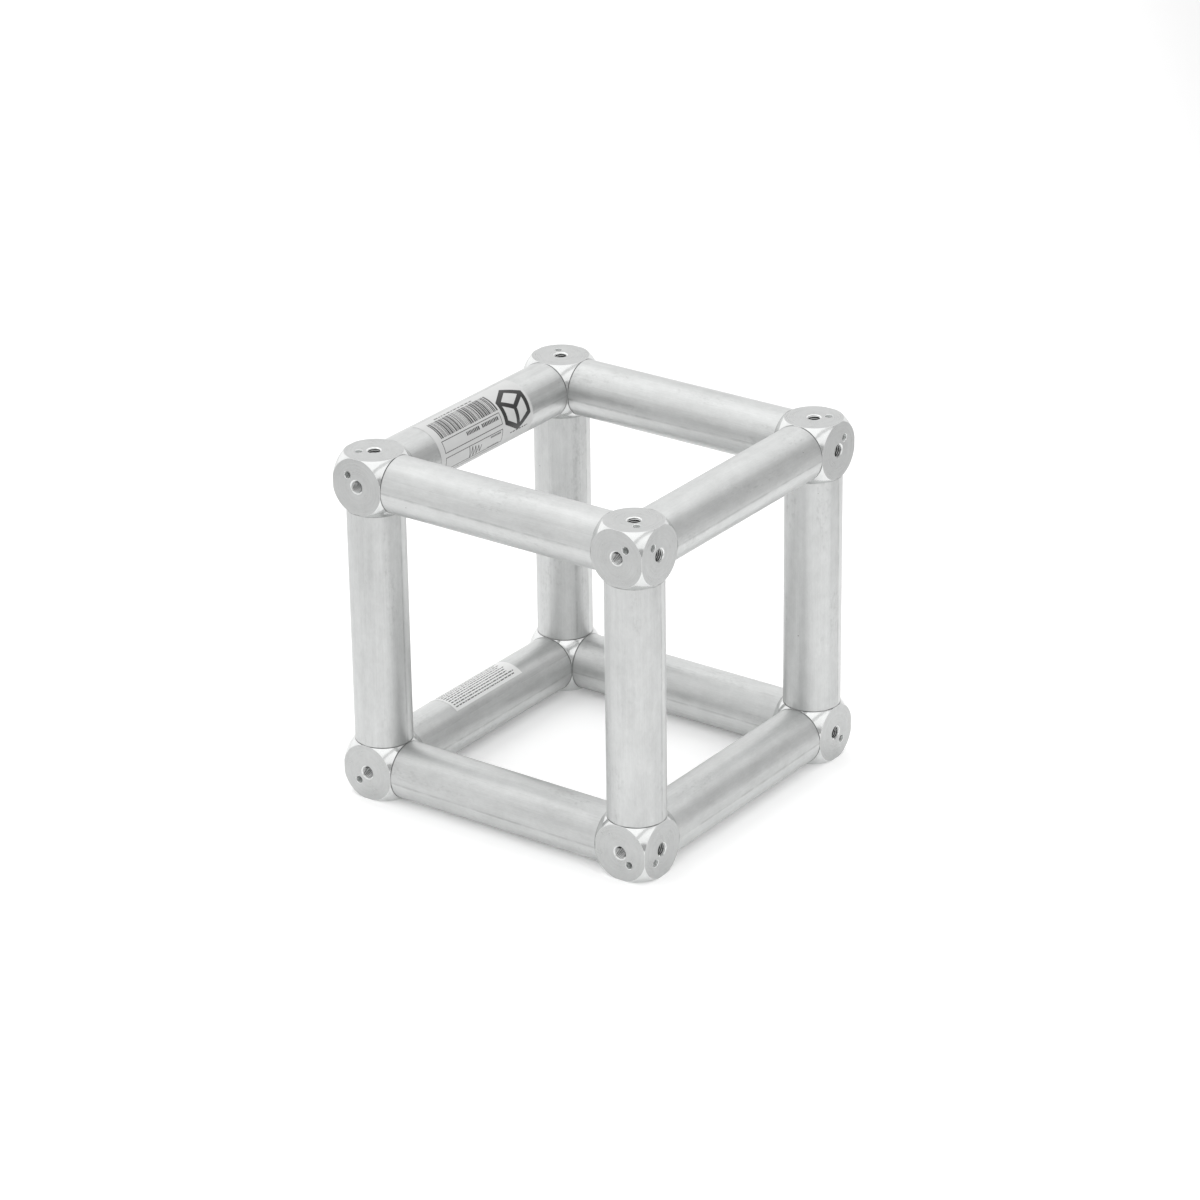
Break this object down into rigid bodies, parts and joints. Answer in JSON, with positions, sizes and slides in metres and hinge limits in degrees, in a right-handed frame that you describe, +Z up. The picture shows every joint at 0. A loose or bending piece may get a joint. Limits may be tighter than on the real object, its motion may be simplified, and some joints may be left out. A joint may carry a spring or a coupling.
{
  "type": "lighting truss box corner",
  "caption": "Open cube of aluminium tubes and drilled corner balls that joins square lighting trusses on any of its six sides.",
  "frame": {"origin": "centre of the cube, where the centre lines of the trusses that join here meet", "axes": "+Z up, +X to the right side, -Y to the front side; each axis is square to one pair of the cube's sides and along one truss direction. The two labels are on the left tubes."},
  "size_m": [0.22, 0.22, 0.2202],
  "materials": {
    "ball_aluminium": "faced flats with fine turning marks, polished ball surface between them",
    "tube_aluminium": "mill finish, satin, with fine lengthwise die lines",
    "screw_steel": "zinc-plated steel",
    "label_film": "white printed film"
  },
  "bodies": {
    "root": {"corner_ball_bottom_front_left": "ball_aluminium", "corner_ball_bottom_front_right": "ball_aluminium", "corner_ball_bottom_rear_left": "ball_aluminium", "corner_ball_bottom_rear_right": "ball_aluminium", "corner_ball_top_front_left": "ball_aluminium", "corner_ball_top_front_right": "ball_aluminium", "corner_ball_top_rear_left": "ball_aluminium", "corner_ball_top_rear_right": "ball_aluminium", "joint_screw_bottom_front_left_x": "screw_steel", "joint_screw_bottom_front_left_y": "screw_steel", "joint_screw_bottom_front_left_z": "screw_steel", "joint_screw_bottom_front_right_x": "screw_steel", "joint_screw_bottom_front_right_y": "screw_steel", "joint_screw_bottom_front_right_z": "screw_steel", "joint_screw_bottom_rear_left_x": "screw_steel", "joint_screw_bottom_rear_left_y": "screw_steel", "joint_screw_bottom_rear_left_z": "screw_steel", "joint_screw_bottom_rear_right_x": "screw_steel", "joint_screw_bottom_rear_right_y": "screw_steel", "joint_screw_bottom_rear_right_z": "screw_steel", "joint_screw_top_front_left_x": "screw_steel", "joint_screw_top_front_left_y": "screw_steel", "joint_screw_top_front_left_z": "screw_steel", "joint_screw_top_front_right_x": "screw_steel", "joint_screw_top_front_right_y": "screw_steel", "joint_screw_top_front_right_z": "screw_steel", "joint_screw_top_rear_left_x": "screw_steel", "joint_screw_top_rear_left_y": "screw_steel", "joint_screw_top_rear_left_z": "screw_steel", "joint_screw_top_rear_right_x": "screw_steel", "joint_screw_top_rear_right_y": "screw_steel", "joint_screw_top_rear_right_z": "screw_steel", "tube_bottom_front": "tube_aluminium", "tube_bottom_rear": "tube_aluminium", "tube_top_front": "tube_aluminium", "tube_top_rear": "tube_aluminium", "tube_bottom_left": "tube_aluminium", "tube_bottom_right": "tube_aluminium", "tube_top_left": "tube_aluminium", "tube_top_right": "tube_aluminium", "post_front_left": "tube_aluminium", "post_front_right": "tube_aluminium", "post_rear_left": "tube_aluminium", "post_rear_right": "tube_aluminium", "identification_label": "label_film", "notice_label": "label_film"}
  },
  "joints": []
}
